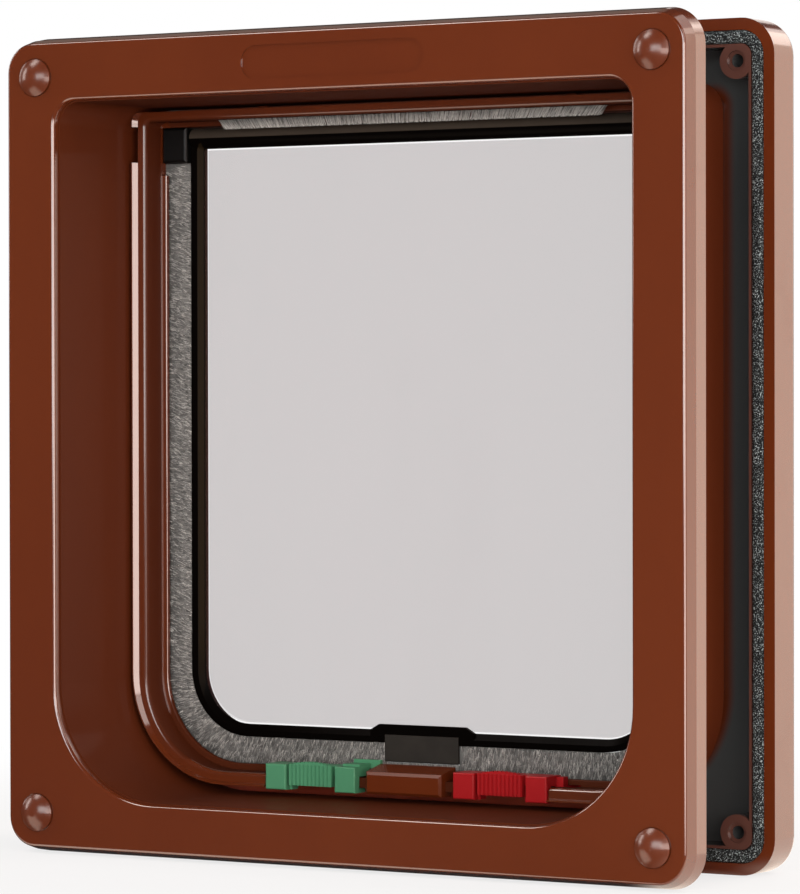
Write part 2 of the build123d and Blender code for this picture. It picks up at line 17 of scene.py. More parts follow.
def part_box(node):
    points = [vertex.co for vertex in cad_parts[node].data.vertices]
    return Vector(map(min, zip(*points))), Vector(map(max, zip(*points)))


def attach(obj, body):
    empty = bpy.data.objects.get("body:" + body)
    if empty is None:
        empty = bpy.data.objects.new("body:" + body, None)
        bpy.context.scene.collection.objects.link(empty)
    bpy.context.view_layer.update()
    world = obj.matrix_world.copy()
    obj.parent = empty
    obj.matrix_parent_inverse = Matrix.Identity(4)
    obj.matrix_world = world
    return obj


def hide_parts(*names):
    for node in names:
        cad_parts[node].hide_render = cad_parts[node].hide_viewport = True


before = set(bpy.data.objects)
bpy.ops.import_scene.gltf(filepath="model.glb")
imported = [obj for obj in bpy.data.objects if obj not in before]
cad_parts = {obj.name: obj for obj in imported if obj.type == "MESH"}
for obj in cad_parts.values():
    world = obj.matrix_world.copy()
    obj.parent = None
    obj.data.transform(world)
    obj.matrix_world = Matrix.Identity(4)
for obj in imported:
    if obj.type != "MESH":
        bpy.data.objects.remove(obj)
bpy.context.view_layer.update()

log = logging.getLogger("cat_flap")

MM = 0.001
FACE_LOW, FACE_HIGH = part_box("interior_frame")
FACE_Y = FACE_LOW.y
CENTRE_Z = (FACE_LOW.z + FACE_HIGH.z) / 2

Triple = tuple[float, float, float]
Colour = Triple
Grid = np.ndarray

WHITE = (1.0, 1.0, 1.0)
# Further than any surface of the part lies from the middle of its face
NOWHERE = 1.0
# Odd factors that scatter the lattice's whole numbers
LATTICE_PRIMES = np.array((73856093, 19349663, 83492791))
SEED_PRIME = 2654435761
MIX_PRIME = 1274126177


def in_frame(x: Grid, depth: Grid, height: Grid) -> Grid:
    """Place points in the shared frame.

    Args:
        x: Distances to the right of the middle, in metres.
        depth: Distances behind the interior face, in metres.
        height: Heights over the middle of the face, in metres.

    Returns:
        An array of points, with a last axis of three.
    """
    return np.stack(np.broadcast_arrays(x, depth + FACE_Y, height + CENTRE_Z), axis=-1)


def node_box(node: str) -> tuple[Grid, Grid]:
    """Find the box of a solid.

    Args:
        node: The solid's name.

    Returns:
        Its lowest and its highest X, depth and height.
    """
    shift = np.array((0.0, FACE_Y, CENTRE_Z))
    low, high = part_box(node)
    return np.array(low) - shift, np.array(high) - shift


def linear(red: int, green: int, blue: int) -> Colour:
    """Turn a colour as a screen shows it into linear light, by the screens' standard curve.

    Args:
        red: Red, from 0 to 255.
        green: Green, from 0 to 255.
        blue: Blue, from 0 to 255.

    Returns:
        The light of each, from 0 to 1.
    """
    share = np.array((red, green, blue)) / 255
    light = np.where(share <= 0.04045, share / 12.92, ((share + 0.055) / 1.055) ** 2.4)
    return tuple(float(v) for v in light)


def lattice_noise(points: Grid, cell: float, seed: int) -> Grid:
    """Smooth noise from 0 to 1: hashed values on a cubic lattice, blended by a smoothstep in each cell.

    Args:
        points: Points with a last axis of three, in metres.
        cell: Width of a lattice cell, in metres.
        seed: Picks another pattern.

    Returns:
        One value for each point.
    """
    scaled = points / cell
    corner = np.floor(scaled).astype(np.int64)
    share = scaled - corner
    share = share * share * (3 - 2 * share)
    total = np.zeros(points.shape[:-1])
    for step in np.ndindex(2, 2, 2):
        mixed = np.bitwise_xor.reduce((corner + np.array(step)) * LATTICE_PRIMES, axis=-1)
        mixed = mixed ^ (seed * SEED_PRIME)
        mixed = (mixed ^ (mixed >> 13)) * MIX_PRIME
        value = ((mixed ^ (mixed >> 16)) & 0xFFFF) / 0xFFFF
        weight = np.prod(np.where(np.array(step) == 1, share, 1 - share), axis=-1)
        total = total + value * weight
    return total


class Wire:
    """A node's output that takes part in Python arithmetic, each operator adding a Math node."""

    def __init__(self, graph: "Graph", socket: bpy.types.NodeSocket) -> None:
        """Keep the tree and the output that the wire comes from."""
        self.graph = graph
        self.socket = socket

    def __add__(self, other: "Value") -> "Wire":
        """Sum of the two."""
        return self.graph.math("ADD", self, other)

    def __radd__(self, other: "Value") -> "Wire":
        """Sum, with the number first."""
        return self.graph.math("ADD", other, self)

    def __sub__(self, other: "Value") -> "Wire":
        """This less the other."""
        return self.graph.math("SUBTRACT", self, other)

    def __rsub__(self, other: "Value") -> "Wire":
        """The other less this."""
        return self.graph.math("SUBTRACT", other, self)

    def __mul__(self, other: "Value") -> "Wire":
        """Product of the two."""
        return self.graph.math("MULTIPLY", self, other)

    def __rmul__(self, other: "Value") -> "Wire":
        """Product, with the number first."""
        return self.graph.math("MULTIPLY", other, self)

    def __abs__(self) -> "Wire":
        """Size without the sign."""
        return self.graph.math("ABSOLUTE", self)

    def high(self, other: "Value") -> "Wire":
        """The larger of the two."""
        return self.graph.math("MAXIMUM", self, other)

    def low(self, other: "Value") -> "Wire":
        """The smaller of the two."""
        return self.graph.math("MINIMUM", self, other)

    def ramp(self, start: float, end: float) -> "Wire":
        """Smooth step between two values, either of which may be the larger.

        Args:
            start: Value at which the step is 0.
            end: Value at which it is 1.

        Returns:
            The step.
        """
        low, high = min(start, end), max(start, end)
        node = self.graph.node(
            "ShaderNodeMapRange",
            {"interpolation_type": "SMOOTHSTEP"},
            {"Value": self, "From Min": low, "From Max": high},
        )
        step = Wire(self.graph, node.outputs["Result"])
        return step if start < end else 1 - step


Value = Union[Wire, float, int]
Socketed = Union[Wire, float, int, Sequence[float]]


class Graph:
    """A node tree that is filled by method calls."""

    def __init__(self, tree: bpy.types.NodeTree) -> None:
        """Empty the tree."""
        self.tree = tree
        self.tree.nodes.clear()

    def node(
        self,
        kind: str,
        settings: Optional[Mapping[str, Any]] = None,
        inputs: Optional[Mapping[Union[str, int], Socketed]] = None,
    ) -> bpy.types.Node:
        """Add a node of any type.

        Args:
            kind: Blender's name of the node type.
            settings: Attributes to set first, such as an operation.
            inputs: Values or wires for its input sockets, by name or index.

        Returns:
            The new node.
        """
        made = self.tree.nodes.new(kind)
        for key, value in (settings or {}).items():
            setattr(made, key, value)
        for key, value in (inputs or {}).items():
            if isinstance(value, Wire):
                self.tree.links.new(value.socket, made.inputs[key])
            else:
                made.inputs[key].default_value = value
        return made

    def math(self, operation: str, *values: Value) -> Wire:
        """Add a Math node on one or two values."""
        node = self.node("ShaderNodeMath", {"operation": operation}, dict(enumerate(values)))
        return Wire(self, node.outputs[0])

    def wire(self, node: bpy.types.Node, output: Union[str, int] = 0) -> Wire:
        """Take an output of a node."""
        return Wire(self, node.outputs[output])

    def seen(self, *rays: str) -> Wire:
        """Tell rays apart.

        Args:
            rays: Outputs of the Light Path node, such as Is Camera Ray.

        Returns:
            1 for rays of the named kinds, and 0 for others.
        """
        path = self.node("ShaderNodeLightPath")
        total = self.wire(path, rays[0])
        for kind in rays[1:]:
            total = total.high(self.wire(path, kind))
        return total

    def glow(self, kind: str, strength: float, colour: Colour = WHITE) -> Wire:
        """Light of that strength, white unless told otherwise, from a Background or an Emission node."""
        return self.wire(self.node(kind, inputs={"Color": (*colour, 1.0), "Strength": strength}))

    def either(self, share: Value, first: Wire, second: Wire) -> Wire:
        """Mix of two shaders, first where the share is 0."""
        return self.wire(self.node("ShaderNodeMixShader", inputs={0: share, 1: first, 2: second}))


@dataclass(frozen=True)
class Arch:
    """An upright opening whose lower corners have a radius of their own."""

    half: float
    top: float
    bottom: float
    top_radius: float
    bottom_radius: float


OPENING = Arch(91.8 * MM, 96.5 * MM, -99.4 * MM, 6.8 * MM, 32.5 * MM)
SLEEVE = Arch(88.75 * MM, 94.9 * MM, -95.4 * MM, 3.0 * MM, 29.45 * MM)
WINDOW = Arch(73.1 * MM, 84.5 * MM, -79.7 * MM, 0.5 * MM, 15.1 * MM)


class Finish(Graph):
    """The node tree of one material, on the piece's own coordinates."""

    def __init__(self, name: str) -> None:
        """Make an empty material, and the coordinates that its patterns follow.

        Args:
            name: Name of the material.
        """
        self.material = bpy.data.materials.new(name)
        self.material.use_nodes = True
        super().__init__(self.material.node_tree)
        place = self.node("ShaderNodeTexCoord")
        self.place = self.wire(place, "Object")
        split = self.node("ShaderNodeSeparateXYZ", inputs={"Vector": self.place})
        self.x = self.wire(split, "X")
        self.depth = self.wire(split, "Y") - FACE_Y
        self.height = self.wire(split, "Z") - CENTRE_Z

    def noise(
        self, scale: float, detail: float = 3.0, rough: float = 0.55, stretch: Triple = (1.0, 1.0, 1.0)
    ) -> Wire:
        """Noise from about 0 to 1 on the piece's own coordinates.

        Args:
            scale: Features to a metre.
            detail: Octaves.
            rough: Share that each finer octave keeps.
            stretch: Factors that squeeze the coordinates along each axis.

        Returns:
            The noise's value.
        """
        mapped = self.node("ShaderNodeMapping", inputs={"Vector": self.place, "Scale": stretch})
        node = self.node(
            "ShaderNodeTexNoise",
            inputs={"Vector": self.wire(mapped), "Scale": scale, "Detail": detail, "Roughness": rough},
        )
        return self.wire(node)

    def cells(self, scale: float) -> Wire:
        """Distance to the nearest of scattered points, as cells of a foam have it."""
        node = self.node("ShaderNodeTexVoronoi", inputs={"Vector": self.place, "Scale": scale})
        return self.wire(node, "Distance")

    def beyond(self, outline: Arch) -> Wire:
        """Distance outside an upright outline, negative inside it.

        Args:
            outline: Opening whose upper and lower corners have radii of their own.

        Returns:
            The distance, as a rounded box has it: corner circles, and straight sides between them.
        """
        middle = (outline.top + outline.bottom) / 2
        lower = self.math("LESS_THAN", self.height, middle)
        radius = outline.top_radius + lower * (outline.bottom_radius - outline.top_radius)
        along_x = abs(self.x) - outline.half + radius
        along_z = abs(self.height - middle) - (outline.top - outline.bottom) / 2 + radius
        out_x, out_z = along_x.high(0.0), along_z.high(0.0)
        return self.math("SQRT", out_x * out_x + out_z * out_z) + along_x.high(along_z).low(0.0) - radius

    def distance(self, spot: Triple) -> Wire:
        """Distance from a point."""
        node = self.node("ShaderNodeVectorMath", {"operation": "DISTANCE"}, {0: self.place, 1: spot})
        return self.wire(node, "Value")

    def attribute(self, name: str) -> Wire:
        """A number that the mesh itself carries."""
        return self.wire(self.node("ShaderNodeAttribute", {"attribute_name": name}), "Fac")

    def blend(self, share: Value, first: Socketed, second: Socketed) -> Wire:
        """Mix two colours.

        Args:
            share: Share of the second.
            first: A colour, or a wire that carries one.
            second: A colour, or a wire that carries one.

        Returns:
            The mixed colour.
        """
        low, high = (v if isinstance(v, Wire) else (*v, 1.0) for v in (first, second))
        node = self.node("ShaderNodeMix", {"data_type": "RGBA"}, {0: share, 6: low, 7: high})
        return self.wire(node, 2)

    def bump(self, relief: Wire, distance: float, strength: float = 1.0) -> Wire:
        """Normal of a relief of that depth."""
        inputs = {"Height": relief, "Distance": distance, "Strength": strength}
        return self.wire(self.node("ShaderNodeBump", inputs=inputs), "Normal")

    def surface(self, inputs: Mapping[str, Socketed]) -> bpy.types.Material:
        """Close the tree with a Principled shader and an output.

        Args:
            inputs: Values or wires for the shader's sockets.

        Returns:
            The finished material.
        """
        return self.close(self.wire(self.node("ShaderNodeBsdfPrincipled", inputs=inputs)))

    def close(self, shader: Wire) -> bpy.types.Material:
        """Send a shader to the material's output."""
        self.node("ShaderNodeOutputMaterial", inputs={"Surface": shader})
        return self.material


@dataclass(frozen=True)
class PaintedHollowShade:
    """Painted shade over the inside of the exterior frame: behind the rim, inside the foam and outside the
    liner.

    The fronts of the bosses and of the foam's inner rib take a share of the painted shade. The strip that
    shows in the tunnel, under the sill, is painted paler than the frame, as painted light, since little
    light gets there. It has no end at the rear, so the weather face shows it too, as a band under the
    opening.
    """

    # Colour of the painted shade in the hollow
    colour: Colour
    front: float = 48.4 * MM
    back: float = 58.3 * MM
    rib_half: float = 102.75 * MM
    rib_top: float = 107.85 * MM
    front_share: float = 0.4
    sleeve_gap: float = 0.5 * MM
    fade: float = 3.4 * MM
    soft: float = 0.3 * MM
    sill_half: float = 76.0 * MM
    liner_foot: float = -100.0 * MM
    # Paler colour painted under the sill, as painted light where little light reaches
    sill_painted_light: Colour = (0.36, 0.058, 0.03)

    def mask(self, g: Finish) -> Wire:
        """Find where the hollow's painted shade goes.

        Args:
            g: Tree of the frame's material.

        Returns:
            Share of the painted shade: 1 in the hollow, less on what faces the room, and 0 elsewhere.
        """
        behind = g.depth.ramp(self.front, self.front + self.soft).high(self.front_share)
        before = g.depth.ramp(self.back + self.soft, self.back)
        beside = abs(g.x).ramp(self.rib_half, self.rib_half - self.soft)
        below = abs(g.height).ramp(self.rib_top, self.rib_top - self.soft)
        outside = g.beyond(SLEEVE).ramp(self.sleeve_gap, self.sleeve_gap + self.fade)
        return behind * before * beside * below * outside * (1 - self.under_sill(g))

    def under_sill(self, g: Finish) -> Wire:
        """Find the strip under the sill, which is painted paler as painted light, and the band of the
        weather face at the same heights.

        Args:
            g: Tree of the frame's material.

        Returns:
            1 on the strip and the band, and 0 elsewhere.
        """
        sill = abs(g.x).ramp(self.sill_half, self.sill_half - self.fade)
        sill = sill * g.height.ramp(self.liner_foot - self.soft, self.liner_foot)
        sill = sill * g.height.ramp(SLEEVE.bottom + self.fade, SLEEVE.bottom)
        return sill * g.depth.ramp(self.back - self.fade, self.back - self.soft)


@dataclass(frozen=True)
class TunnelGrainAndShade:
    """The fine grain of a tunnel, and painted shade that darkens the same walls: inside its outline, and
    past a depth on its outside too.

    It sets in at the front, over the length of the entry. A lip at both sides and the edge of a sill may
    stay polished.
    """

    outline: Arch
    front: float
    reach: float
    past: float
    # Share by which the walls are darkened towards black, as painted shade
    shade: float
    entry: float = 1.5 * MM
    lip: float = NOWHERE
    lip_half: float = 83.5 * MM
    lip_length: float = 3.0 * MM
    sill: float = -NOWHERE
    sill_edge: float = 38.0 * MM
    soft: float = 0.5 * MM

    def mask(self, g: Finish) -> Wire:
        """Find the walls that take the grain and the painted shade.

        Args:
            g: Tree of the moulding's material.

        Returns:
            1 on the walls and 0 elsewhere.
        """
        inside = g.beyond(self.outline).ramp(self.reach, self.reach - self.soft)
        inside = inside * g.depth.ramp(self.front, self.front + self.entry)
        lip = g.depth.ramp(self.lip - self.soft, self.lip)
        lip = lip * g.depth.ramp(self.lip + self.lip_length + self.soft, self.lip + self.lip_length)
        inside = inside * (1 - lip * abs(g.x).ramp(self.lip_half - self.soft, self.lip_half))
        sill = g.height.ramp(self.sill + self.entry, self.sill)
        inside = inside * (1 - sill * g.depth.ramp(self.sill_edge + self.soft, self.sill_edge))
        return inside.high(g.depth.ramp(self.past, self.past + self.soft))


@dataclass(frozen=True)
class GlossMoulding:
    """Injection-moulded plastic with a polished skin, faint flow marks, orange peel and light scuffs."""

    name: str
    colour: Colour
    shade: Colour
    roughness: float = 0.2
    scuff: float = 0.06
    peel: float = 0.006 * MM
    coat: float = 1.0
    coat_roughness: float = 0.11
    # Painted shade for the hollow, with painted light under the sill
    dark: Optional[PaintedHollowShade] = None
    # Grain of a tunnel's walls, with painted shade that darkens them
    grain: Optional[TunnelGrainAndShade] = None
    flow_scale: float = 14.0
    rub_scale: float = 60.0
    peel_scale: float = 520.0
    streak_scale: float = 700.0
    speck_scale: float = 900.0
    grain_roughness: float = 0.45
    grain_dulling: float = 0.95

    def material(self) -> bpy.types.Material:
        """Make the material.

        Returns:
            The finished material.
        """
        g = Finish(self.name)
        flow = g.noise(self.flow_scale, 4.0, 0.6, (1.0, 1.0, 0.35)).ramp(0.3, 0.72)
        speck = g.noise(self.speck_scale, 2.0)
        colour = g.blend(flow * 0.95 + speck * 0.05, self.shade, self.colour)
        rubbed = g.noise(self.rub_scale, 5.0, 0.7).ramp(0.52, 0.8)
        streak = g.noise(self.streak_scale, 2.0, 0.5, (1.0, 1.0, 0.04)).ramp(0.6, 0.75)
        roughness = self.roughness + rubbed * (1 + streak) * self.scuff + speck * 0.02
        coat = self.coat * (1 - rubbed * 0.08)
        if self.dark is not None:
            # Painted shade: the hollow's dark colour stands in for the shade there
            dark = self.dark.mask(g)
            colour = g.blend(dark, colour, self.dark.colour)
            # Painted light: the strip under the sill is painted paler than the frame
            colour = g.blend(self.dark.under_sill(g), colour, self.dark.sill_painted_light)
            coat = coat * (1 - dark)
        if self.grain is not None:
            grained_and_shaded = self.grain.mask(g)
            # Painted shade: the walls with grain are darkened towards black
            colour = g.blend(grained_and_shaded * self.grain.shade, colour, (0.0, 0.0, 0.0))
            roughness = roughness + grained_and_shaded * self.grain_roughness
            coat = coat * (1 - grained_and_shaded * self.grain_dulling)
        peel = g.noise(self.peel_scale, 2.0, 0.45)
        return g.surface({
            "Base Color": colour,
            "Roughness": roughness,
            "Coat Weight": coat,
            "Coat Roughness": self.coat_roughness,
            "Coat IOR": 2.0,
            "Specular IOR Level": 0.1,
            "Normal": g.bump(peel, self.peel, 0.5),
            "IOR": 1.5,
        })


@dataclass(frozen=True)
class SmokedBorder:
    """Near-black smoked plastic of the flap's border; its side bevels take a tint that is partly the
    smoke's own and partly painted light, and the upper half of the hinge takes painted light.
    """

    name: str
    colour: Colour
    # Tint of the side bevels: partly the smoke's own, partly painted light
    bevel_tint_and_light: Colour
    # Paler colour painted as light on the upper half of the hinge
    lit_bar_top: Colour
    bevel: float = 1.75 * MM
    bar_height: float = 87.55 * MM
    foot: float = -78.0 * MM
    fade: float = 26.0 * MM
    line: float = 0.12 * MM
    cloud_scale: float = 120.0
    dust_scale: float = 420.0
    grain_scale: float = 1400.0
    grain: float = 0.008 * MM

    def material(self) -> bpy.types.Material:
        """Make the material.

        Returns:
            The finished material.
        """
        g = Finish(self.name)
        out = g.beyond(WINDOW)
        # Painted light, partly the smoke's tint: the side bevels, fading towards the foot
        bevel = out.ramp(self.bevel + self.line, self.bevel - self.line)
        bevel = bevel * out.ramp(self.line, 3 * self.line)
        sides = abs(g.x).ramp(WINDOW.half - 2 * self.line, WINDOW.half)
        bevel = bevel * sides * g.height.ramp(self.foot, self.foot + self.fade)
        # Painted light: the upper half of the hinge, which faces the light
        over = g.height.ramp(self.bar_height - self.line, self.bar_height + self.line)
        cloud = g.noise(self.cloud_scale, 3.0)
        tinted_and_lit = g.blend(bevel * (0.75 + cloud * 0.25), self.colour, self.bevel_tint_and_light)
        grain = g.noise(self.grain_scale, 2.0)
        dust = g.noise(self.dust_scale, 4.0, 0.75).ramp(0.66, 0.8)
        return g.surface({
            "Base Color": g.blend(over * (0.75 + cloud * 0.25), tinted_and_lit, self.lit_bar_top),
            "Roughness": 0.26 + cloud * 0.1 + dust * 0.25,
            "Specular IOR Level": 0.02,
            "Normal": g.bump(grain, self.grain, 0.4),
            "IOR": 1.5,
        })


@dataclass(frozen=True)
class ClearPane:
    """Clear plastic with a slight smoke, faint wipe marks, dust and a painted highlight: a light line
    along the window's edge, where the pane turns nearly clear.
    """

    name: str
    colour: Colour
    alpha: float
    edge: float = 0.5 * MM
    wipe_scale: float = 26.0
    dust_scale: float = 900.0
    wiped: float = 0.94

    def material(self) -> bpy.types.Material:
        """Make the material.

        Returns:
            The finished material.
        """
        g = Finish(self.name)
        wipe = g.noise(self.wipe_scale, 4.0, 0.6, (1.0, 1.0, 0.3)).ramp(0.4, 0.8)
        dust = g.noise(self.dust_scale, 3.0, 0.8).ramp(0.7, 0.82)
        shaded = tuple(c * self.wiped for c in self.colour)
        # Painted highlight: the pane turns nearly clear along the window's edge, so the white surroundings
        # show through as a light line
        painted_edge_highlight = g.beyond(WINDOW).ramp(-self.edge, -0.6 * self.edge)
        return g.surface({
            "Base Color": g.blend(wipe, self.colour, shaded),
            "Roughness": 0.06 + wipe * 0.06 + dust * 0.2,
            "Alpha": (self.alpha + wipe * 0.01 + dust * 0.02) * (1 - painted_edge_highlight * 0.85),
            "IOR": 1.5,
        })


@dataclass(frozen=True)
class MattMoulding:
    """Plain plastic with a fine spark-eroded texture."""

    name: str
    colour: Colour
    worn: Colour
    roughness: float = 0.5
    spark_scale: float = 2600.0
    cloud_scale: float = 180.0
    relief: float = 0.03 * MM

    def material(self) -> bpy.types.Material:
        """Make the material.

        Returns:
            The finished material.
        """
        g = Finish(self.name)
        spark = g.noise(self.spark_scale, 3.0, 0.6)
        cloud = g.noise(self.cloud_scale, 4.0, 0.6).ramp(0.35, 0.75)
        return g.surface({
            "Base Color": g.blend(cloud * 0.6 + spark * 0.4, self.colour, self.worn),
            "Roughness": self.roughness + spark * 0.12 - cloud * 0.08,
            "Specular IOR Level": 0.3,
            "Normal": g.bump(spark, self.relief, 0.6),
            "IOR": 1.5,
        })


@dataclass(frozen=True)
class Foam:
    """Open-cell foam: dark cell walls with pale broken skins that sparkle."""

    name: str
    colour: Colour
    fleck: Colour
    cell_scale: float = 2600.0
    skin_scale: float = 3000.0
    patch_scale: float = 300.0
    relief: float = 0.22 * MM

    def material(self) -> bpy.types.Material:
        """Make the material.

        Returns:
            The finished material.
        """
        g = Finish(self.name)
        cell = g.cells(self.cell_scale)
        skin = g.noise(self.skin_scale, 2.0, 0.6).ramp(0.545, 0.64)
        patch = g.noise(self.patch_scale, 2.0).ramp(0.25, 0.7)
        pale = skin * (0.55 + patch * 0.45)
        return g.surface({
            "Base Color": g.blend(pale, self.colour, self.fleck),
            "Roughness": 0.9 - pale * 0.25,
            "Normal": g.bump(cell, self.relief, 0.9),
            "IOR": 1.4,
        })


@dataclass(frozen=True)
class CutPile:
    """Grey nylon pile: each fibre has a shade of its own and pales towards its tip."""

    name: str
    root: Colour
    body: Colour
    tip: Colour
    cloud_scale: float = 160.0
    frayed: float = 0.7

    def material(self) -> bpy.types.Material:
        """Make the material from the mesh's own numbers: share along the fibre, and the fibre's shade.

        Returns:
            The finished material.
        """
        g = Finish(self.name)
        along = g.attribute("along")
        shade = g.attribute("shade")
        cloud = g.noise(self.cloud_scale, 3.0, 0.6)
        fibre = g.blend(shade * 0.8 + cloud * 0.2, self.root, self.body)
        frayed = along.ramp(self.frayed, 1.0) * shade
        return g.surface({
            "Base Color": g.blend(frayed, fibre, self.tip),
            "Roughness": 0.62 + cloud * 0.2,
            "Sheen Weight": 0.15,
            "Sheen Roughness": 0.4,
        })


@dataclass(frozen=True)
class DrawnSteel:
    """Bright drawn wire with fine lines along it."""

    name: str
    colour: Colour
    line_scale: float = 3000.0
    dull: float = 0.7
    relief: float = 0.01 * MM

    def material(self) -> bpy.types.Material:
        """Make the material.

        Returns:
            The finished material.
        """
        g = Finish(self.name)
        line = g.noise(self.line_scale, 2.0, 0.6, (0.03, 1.0, 1.0))
        dull = tuple(c * self.dull for c in self.colour)
        return g.surface({
            "Base Color": g.blend(line, dull, self.colour),
            "Roughness": 0.25 + line * 0.2,
            "Metallic": 1.0,
            "Normal": g.bump(line, self.relief, 0.5),
        })


def paint(material: bpy.types.Material, *nodes: str) -> None:
    """Give solids a finish, and leave their shapes as they are.

    Args:
        material: The finish.
        nodes: Names of the solids.
    """
    for node in nodes:
        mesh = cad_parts[node].data
        mesh.materials.clear()
        mesh.materials.append(material)
        log.info("%s: %s", node, material.name)


@dataclass
class Piece:
    """A mesh worked out as whole arrays, with its place in its vertices."""

    points: Grid
    faces: list[Grid]
    numbers: Mapping[str, Grid]

    def joined(self, other: "Piece") -> "Piece":
        """Put this piece and another into one.

        Args:
            other: A piece with the same numbers.

        Returns:
            The two as one piece.
        """
        shift = len(self.points)
        return Piece(
            np.concatenate([self.points, other.points]),
            self.faces + [block + shift for block in other.faces],
            {key: np.concatenate([values, other.numbers[key]]) for key, values in self.numbers.items()},
        )

    def to_object(self, name: str, material: bpy.types.Material, smooth: bool = True) -> bpy.types.Object:
        """Put the arrays into a mesh.

        Args:
            name: Name of the object.
            material: Finish of the whole piece.
            smooth: Whether its faces are shaded smooth.

        Returns:
            The new object, linked to the scene.
        """
        mesh = bpy.data.meshes.new(name)
        rows = [row for block in self.faces for row in block.tolist()]
        mesh.from_pydata(self.points.tolist(), [], rows)
        for key, values in self.numbers.items():
            numbers = mesh.attributes.new(key, "FLOAT", "POINT")
            numbers.data.foreach_set("value", values.astype(np.float32))
        mesh.polygons.foreach_set("use_smooth", np.full(len(mesh.polygons), smooth))
        mesh.materials.append(material)
        mesh.update()
        made = bpy.data.objects.new(name, mesh)
        bpy.context.scene.collection.objects.link(made)
        return made

    def stand_for(self, node: str, name: str, material: bpy.types.Material, slot: str) -> None:
        """Show the piece in place of a solid of the exterior half.

        Args:
            node: The solid's name.
            name: Name of the new object.
            material: Finish of the whole piece.
            slot: Not used.
        """
        made = self.to_object(name, material)
        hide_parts(node)
        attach(made, "exterior_half")
        log.info("%s: %d points in place of %s", name, len(self.points), node)


def grid_faces(rows: int, columns: int, wrap_rows: bool, wrap_columns: bool) -> Grid:
    """Quads of a grid whose point (i, j) has index i * columns + j.

    Args:
        rows: Count along the first parameter.
        columns: Count along the second parameter.
        wrap_rows: Whether the last row joins the first.
        wrap_columns: Whether the last column joins the first.

    Returns:
        Corner indices, one row for each quad.
    """
    i, j = np.meshgrid(
        np.arange(rows if wrap_rows else rows - 1),
        np.arange(columns if wrap_columns else columns - 1),
        indexing="ij",
    )
    after_i, after_j = (i + 1) % rows, (j + 1) % columns
    corners = (i * columns + j, i * columns + after_j, after_i * columns + after_j, after_i * columns + j)
    return np.stack([c.ravel() for c in corners], axis=-1)


@dataclass
class Fibres:
    """Tapered fibres, each bent a little between a root and a tip given in X, depth and height."""

    root: Grid
    tip: Grid
    bend: Grid
    shade: Grid
    thickness: float
    rings: int = 3
    sides: int = 3
    taper_at: Triple = (0.0, 0.6, 1.0)
    taper: Triple = (1.0, 0.9, 0.35)

    def build(self) -> Piece:
        """Carry a narrowing ring along each fibre.

        The middle line runs straight from root to tip, plus the bend times a parabola that is 1 half-way.
        A ring's points turn round it in the plane across the fibre.

        Returns:
            All fibres as one piece, with each point's share along its fibre and the fibre's shade.
        """
        count = len(self.root)
        along = np.linspace(0, 1, self.rings)
        heading = self.tip - self.root
        heading = heading / np.linalg.norm(heading, axis=-1, keepdims=True)
        beside = np.cross(heading, (0.0, 1.0, 0.0))
        beside = beside / np.linalg.norm(beside, axis=-1, keepdims=True)
        over = np.cross(heading, beside)
        part = along[None, :, None]
        middle = self.root[:, None] + (self.tip - self.root)[:, None] * part
        middle = middle + self.bend[:, None] * (4 * part * (1 - part))
        radius = self.thickness / 2 * np.interp(along, self.taper_at, self.taper)
        turn = np.arange(self.sides) * 2 * np.pi / self.sides
        out = np.cos(turn)[:, None] * beside[:, None] + np.sin(turn)[:, None] * over[:, None]
        points = middle[:, :, None] + radius[None, :, None, None] * out[:, None]
        first = (np.arange(count) * self.rings * self.sides)[:, None, None]
        end = np.arange(self.sides)[None, None]
        skin = grid_faces(self.rings, self.sides, False, True)[None] + first
        caps = (end[..., ::-1] + first, end + first + (self.rings - 1) * self.sides)
        shape = points.shape[:-1]
        numbers = {
            "along": np.broadcast_to(along[None, :, None], shape).ravel(),
            "shade": np.broadcast_to(self.shade[:, None, None], shape).ravel(),
        }
        faces = [block.reshape(-1, block.shape[-1]) for block in (skin, *caps)]
        placed = in_frame(points[..., 0], points[..., 1], points[..., 2])
        return Piece(placed.reshape(-1, 3), faces, numbers)


